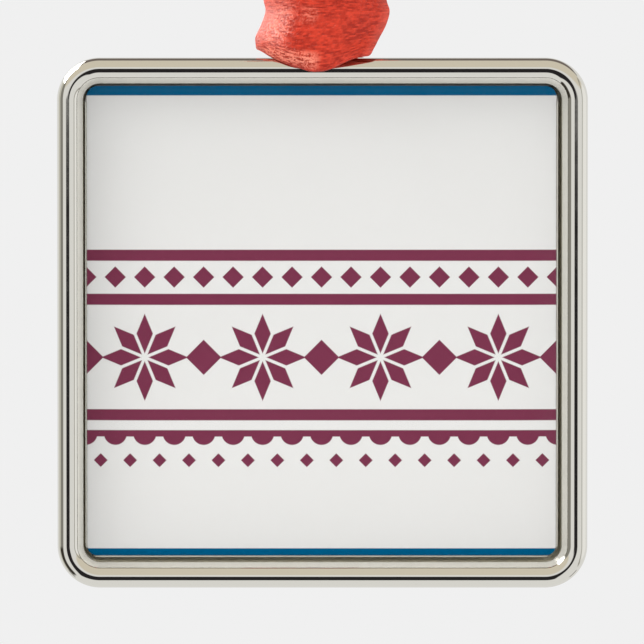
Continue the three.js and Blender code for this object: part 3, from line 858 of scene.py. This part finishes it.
def strip(name, place, painted_sheen=None, across=48, along=120):
    """A strip of ribbon: place(u, v) gives its points in mm, u from -1 to 1 across, v from 0 to 1 along."""
    middle_line = [Vector(place(0, step / along)) * MM for step in range(along + 1)]
    length = sum((end - start).length for start, end in zip(middle_line, middle_line[1:]))
    mesh = bmesh.new()
    weave = mesh.loops.layers.uv.new("weave")
    bmesh.ops.create_grid(mesh, x_segments=across, y_segments=along, size=1)
    for face in mesh.faces:
        for loop in face.loops:
            loop[weave].uv = (loop.vert.co.x * ribbon_width / 2, (loop.vert.co.y + 1) / 2 * length)
    # Each point carries how much painted sheen it gets.
    sheen_paint = mesh.verts.layers.float.new("painted_sheen")
    for vert in mesh.verts:
        u, v = vert.co.x, (vert.co.y + 1) / 2
        vert[sheen_paint] = painted_sheen(u, v) if painted_sheen else 0
        vert.co = Vector(place(u, v)) * MM
    bmesh.ops.recalc_face_normals(mesh, faces=mesh.faces)
    mesh.normal_update()
    made = bmesh.ops.extrude_face_region(mesh, geom=mesh.faces[:], use_keep_orig=True)["geom"]
    for vert in only(made, bmesh.types.BMVert):
        vert.co -= vert.normal * cloth_thickness
    piece = finish_mesh(mesh, name, sharp=60)
    piece.data.materials.append(satin)
    print(name, "of", len(piece.data.polygons), "faces,", round(length / MM, 1), "mm long")
    return piece


# %% [markdown]
# Lower stretch: the front strand comes down, bulges over the rim and folds under itself. The fold makes a
# sloping hem, highest at the left and lowest near the middle. Behind it the cloth is gathered into pleats
# through the eye, comes out at the back, and spreads again on its way up. Each section says where its left
# and right edges lie, how high its middle is and how much the hem's slope lifts it, how far back it lies,
# how strongly its sides curl back and from which line on the left, and how deep its pleats are.

# %% Ribbon: through the eye
pleats = 3
fold_softness = 0.16
right_fold_line = 0.45
left_curl, right_curl = 2.4, 2.0
bow, bow_middle = 0.2, 0.2
look = 0.01
# How much the hem is lifted, from the left edge to the right one.
hem_droops = [(droop,) for droop in (1.95, 1.22, 0.72, 0.33, 0.03, 0.12, 0.60, 1.14, 1.38)]
# Left edge, right edge, height, lift, place towards the back, curl, left fold line, pleats.
eye_sections = [
    (-6.60, 6.60, -54.70, 0.00, -0.42, 0.0, -0.60, 0.00),
    (-6.55, 6.60, -56.60, 0.00, -0.90, 0.8, -0.60, 0.00),
    (-6.50, 6.70, -58.40, 0.03, -1.70, 2.1, -0.60, 0.02),
    (-6.35, 6.95, -60.00, 0.06, -2.30, 2.4, -0.60, 0.04),
    (-6.15, 7.25, -61.20, 0.10, -2.80, 2.4, -0.60, 0.05),
    (-6.60, 6.85, -62.80, 0.20, -3.40, 2.4, -0.60, 0.04),
    (-7.20, 6.10, -64.50, 0.40, -4.20, 2.2, -0.52, 0.02),
    (-7.20, 5.55, -66.10, 0.80, -4.90, 1.7, -0.30, 0.00),
    (-7.00, 5.00, -67.40, 1.15, -4.80, 1.4, -0.08, 0.00),
    (-6.00, 3.90, -67.45, 1.25, -3.90, 0.8, -0.08, 0.05),
    (-3.60, 2.80, -66.30, 0.90, -3.00, 0.1, -0.20, 0.40),
    (-2.30, 2.00, -64.90, 0.30, -1.70, 0.0, 0.00, 0.80),
    (-1.90, 1.90, -63.85, 0.00, -0.90, 0.0, 0.00, 1.00),
    (-1.90, 1.90, -63.80, 0.00, 0.90, 0.0, 0.00, 1.00),
    (-2.60, 2.60, -63.00, 0.00, 2.00, 0.0, 0.00, 0.90),
    (-4.20, 4.20, -61.20, 0.00, 2.00, 0.0, 0.00, 0.60),
    (-5.80, 5.80, -59.40, 0.00, 1.80, 0.0, 0.00, 0.30),
    (-6.50, 6.50, -57.60, 0.00, 1.20, 0.0, 0.00, 0.08),
    (-6.60, 6.60, -56.10, 0.00, 0.60, 0.0, 0.00, 0.00),
    (-6.60, 6.60, -54.70, 0.00, 0.42, 0.0, 0.00, 0.00),
]


def through_eye(u, v):
    """A point of the lower stretch in mm, from the front strand down, through the eye and up behind."""
    left, right, z, rise, y, curl, fold_line, pleat = between(eye_sections, v)
    ahead, behind = between(eye_sections, min(v + look, 1)), between(eye_sections, max(v - look, 0))
    along = Vector((ahead[4] - behind[4], ahead[2] - behind[2])).normalized()
    droop = between(hem_droops, (u + 1) / 2)[0]
    fold = pleat * math.cos(pleats * math.pi * u)
    past_left = (math.hypot(u - fold_line, fold_softness) - (u - fold_line)) / 2
    past_right = (math.hypot(u - right_fold_line, fold_softness) + (u - right_fold_line)) / 2
    away = left_curl * past_left + right_curl * past_right + bow * (u - bow_middle) ** 2
    return (
        left + (right - left) * (u + 1) / 2,
        y + curl * away - along.y * fold,
        z + rise * droop + along.x * fold,
    )


print("lower stretch from", len(eye_sections), "sections")

# %% Ribbon: where sheen is painted on
hem_place, hem_reach = 0.382, 0.042
left_ramp, right_end, right_ramp = 0.3, 0.12, 0.15
# Each painted sheen patch's middle and reach across, then along, and its strength.
sheen_patches = [(-0.70, 0.26, 0.275, 0.165, 0.5), (-0.29, 0.17, 0.215, 0.045, 0.5)]


def painted_sheen_at(u, v):
    """How much sheen is painted on: most round the fold at the rim, and less over two soft patches."""
    up_and_down = max(0, 1 - ((v - hem_place) / hem_reach) ** 2)
    from_left = min(max((u + 1) / left_ramp, 0), 1)
    to_middle = min(max((right_end - u) / right_ramp, 0), 1)
    painted_sheen = up_and_down * from_left * to_middle
    for across, reach_across, along, reach_along, strength in sheen_patches:
        near_across = max(0, 1 - ((u - across) / reach_across) ** 2)
        near_along = max(0, 1 - ((v - along) / reach_along) ** 2)
        painted_sheen = max(painted_sheen, strength * near_across * near_along)
    return painted_sheen


bend = strip("ribbon_bend", through_eye, painted_sheen_at, along=160)
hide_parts("ribbon_bight", "ribbon_neck")
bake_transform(bend)

# %% [markdown]
# Upper stretches: from the eye the two strands rise together, part to go round the hook, and come together
# again above it, drawn narrow by the knot. When the ornament turns they twist between 20 and 51 mm below
# the hook, so the loop stays on the hook as it is. Each section says how far the strand is from the middle,
# how high, how wide on each side, and how deep its pleats are.

# %% Ribbon: two strands up to the knot
# Distance from the middle, height, half width, pleats.
strand_sections = [
    (0.42, -54.7, 6.6, 0.00),
    (0.42, -51.0, 6.6, 0.00),
    (0.50, -47.0, 6.6, 0.00),
    (1.00, -40.0, 6.6, 0.08),
    (1.75, -31.0, 6.6, 0.12),
    (2.55, -22.0, 6.5, 0.15),
    (3.25, -14.0, 6.1, 0.25),
    (3.85, -8.5, 5.2, 0.35),
    (4.05, -4.5, 4.2, 0.50),
    (3.50, -1.6, 3.4, 0.55),
    (2.10, 0.0, 2.8, 0.55),
    (1.00, 1.2, 2.5, 0.50),
    (0.65, 2.6, 2.4, 0.40),
    (0.60, 4.2, 2.3, 0.30),
]


def strand(side):
    """The front strand for side -1 and the back one for side 1."""
    def place(u, v):
        """A point of the strand in mm."""
        y, z, half_width, pleat = between(strand_sections, v)
        fold = pleat * math.cos(pleats * math.pi * u + side)
        return u * half_width, side * (y + fold), z
    return place


for name, side in {"ribbon_front_strand": -1, "ribbon_back_strand": 1}.items():
    piece = strip(name, strand(side))
    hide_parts("ribbon_loop")
    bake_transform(piece)

# %% [markdown]
# The knot is an overhand knot in the doubled ribbon: a gathered core goes up through it, and one turn wraps
# it slantwise. The whole way of the cloth could be laid as a strip, but drawn tight it would run through
# itself. The core's outline is a circle with pleats, extruded upwards ring by ring. The turn's section is
# crinkled in the same way and spun once round.

# %% Ribbon: core of the knot
knot_bottom, knot_top = 1.8 * MM, 9.4 * MM
knot_height = knot_top - knot_bottom
knot_middle = (knot_bottom + knot_top) / 2
core_half_width, core_half_depth = 2.6 * MM, 1.5 * MM
core_pleats, core_rings = 9, 12
core_waves = (core_pleats, 0.09, 0), (2 * core_pleats, 0.04, 1)
core_end, core_swell = 0.85, 0.35


def crinkled(vert, *waves):
    """How far a point of a round outline moves out, 1 for not at all. Each wave is (count, depth, start)."""
    angle = math.atan2(vert.co.y, vert.co.x)
    return 1 + sum(depth * math.cos(count * angle + start) for count, depth, start in waves)


mesh = bmesh.new()
weave = mesh.loops.layers.uv.new("weave")
ring = bmesh.ops.create_circle(mesh, segments=108, radius=1)["verts"]
for vert in ring:
    reach = crinkled(vert, *core_waves)
    vert.co = (vert.co.x * reach * core_half_width, vert.co.y * reach * core_half_depth, knot_bottom)
edges = mesh.edges[:]
for step in range(core_rings):
    edges = carry(mesh, edges, (0, 0, knot_height / core_rings))
for vert in mesh.verts:
    swell = core_end + core_swell * math.sin(math.pi * (vert.co.z - knot_bottom) / knot_height)
    vert.co.x *= swell
    vert.co.y *= swell
bmesh.ops.holes_fill(mesh, edges=mesh.edges)
print("core of", len(mesh.faces), "faces")

# %% Ribbon: turn of the knot
knot_half_width, knot_half_depth = 4.6 * MM, 3.2 * MM
wrap_radius = 1.5 * MM
wrap_tilt = math.radians(28)
wrap_flat, wrap_tall = 0.75, 1.25
wrap_wave = (7, 0.07, 0)
centre_reach = knot_half_width - wrap_radius
section = bmesh.ops.create_circle(mesh, segments=48, radius=wrap_radius)["verts"]
section_edges = list({edge for vert in section for edge in vert.link_edges})
for vert in section:
    reach = crinkled(vert, wrap_wave)
    vert.co = (centre_reach + vert.co.x * reach * wrap_flat, 0, vert.co.y * reach * wrap_tall)
bmesh.ops.spin(
    mesh, geom=section + section_edges, cent=(0, 0, 0), axis=(0, 0, 1), angle=2 * math.pi, steps=72,
    use_merge=True,
)
turned = {vert for edge in section_edges for face in edge.link_faces for vert in face.verts}
grown = True
while grown:
    reached = {other for vert in turned for edge in vert.link_edges for other in edge.verts}
    grown = len(reached) > len(turned)
    turned = reached
squeeze = Matrix.Diagonal((1, knot_half_depth / knot_half_width, 1, 1))
tilt = Matrix.Translation((0, 0, knot_middle)) @ Matrix.Rotation(wrap_tilt, 4, "Y")
bmesh.ops.transform(mesh, matrix=tilt @ squeeze, verts=list(turned))
for face in mesh.faces:
    for loop in face.loops:
        loop[weave].uv = (loop.vert.co.x, loop.vert.co.z)
knot = finish_mesh(mesh, "ribbon_knot_turn", sharp=60)
knot.data.materials.append(satin)
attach(knot, "ribbon")
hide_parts("ribbon_knot")
print("knot of", len(knot.data.polygons), "faces")

# %% [markdown]
# The two tails stand up out of the knot, spread to their full width and curl over to the front and the
# back. Their ends are cut to a swallowtail, which keeps a ribbon from fraying. They are strips too, and
# stay flat enough to be laid by a short sum instead of sections. Its lengths are in mm.

# %% Ribbon: tails
tail_length, tail_notch = 21, 3.5
tail_bend, tail_lean = math.radians(105), math.radians(15)
tail_root_half_width, tail_half_width = 2.2, 6.6
tail_pleat, tail_pleat_lost, tail_cup = 0.8, 0.5, 0.9
tail_root_away, tail_root_height = 0.5, 7.9


def tail(side):
    """The front tail for side -1 and the back one for side 1."""
    def place(u, v):
        """A point of the tail in mm."""
        along = v * (tail_length - tail_notch * (1 - abs(u)))
        radius = tail_length / tail_bend
        spread = min(along / (tail_length / 2), 1)
        spread = spread * spread * (3 - 2 * spread)
        half_width = tail_root_half_width + (tail_half_width - tail_root_half_width) * spread
        fold = (tail_pleat - tail_pleat_lost * spread) * math.cos(pleats * math.pi * u + 1)
        fold += tail_cup * spread * u * u
        turn = along / radius
        y = side * (radius * (1 - math.cos(turn)) - fold * math.cos(turn))
        z = radius * math.sin(turn) + fold * math.sin(turn)
        x = u * half_width
        lean = side * tail_lean
        return (
            x * math.cos(lean) + z * math.sin(lean),
            y + side * tail_root_away,
            z * math.cos(lean) - x * math.sin(lean) + tail_root_height,
        )
    return place


for name, side in {"ribbon_front_tail": -1, "ribbon_back_tail": 1}.items():
    piece = strip(name, tail(side), along=60)
    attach(piece, "ribbon")
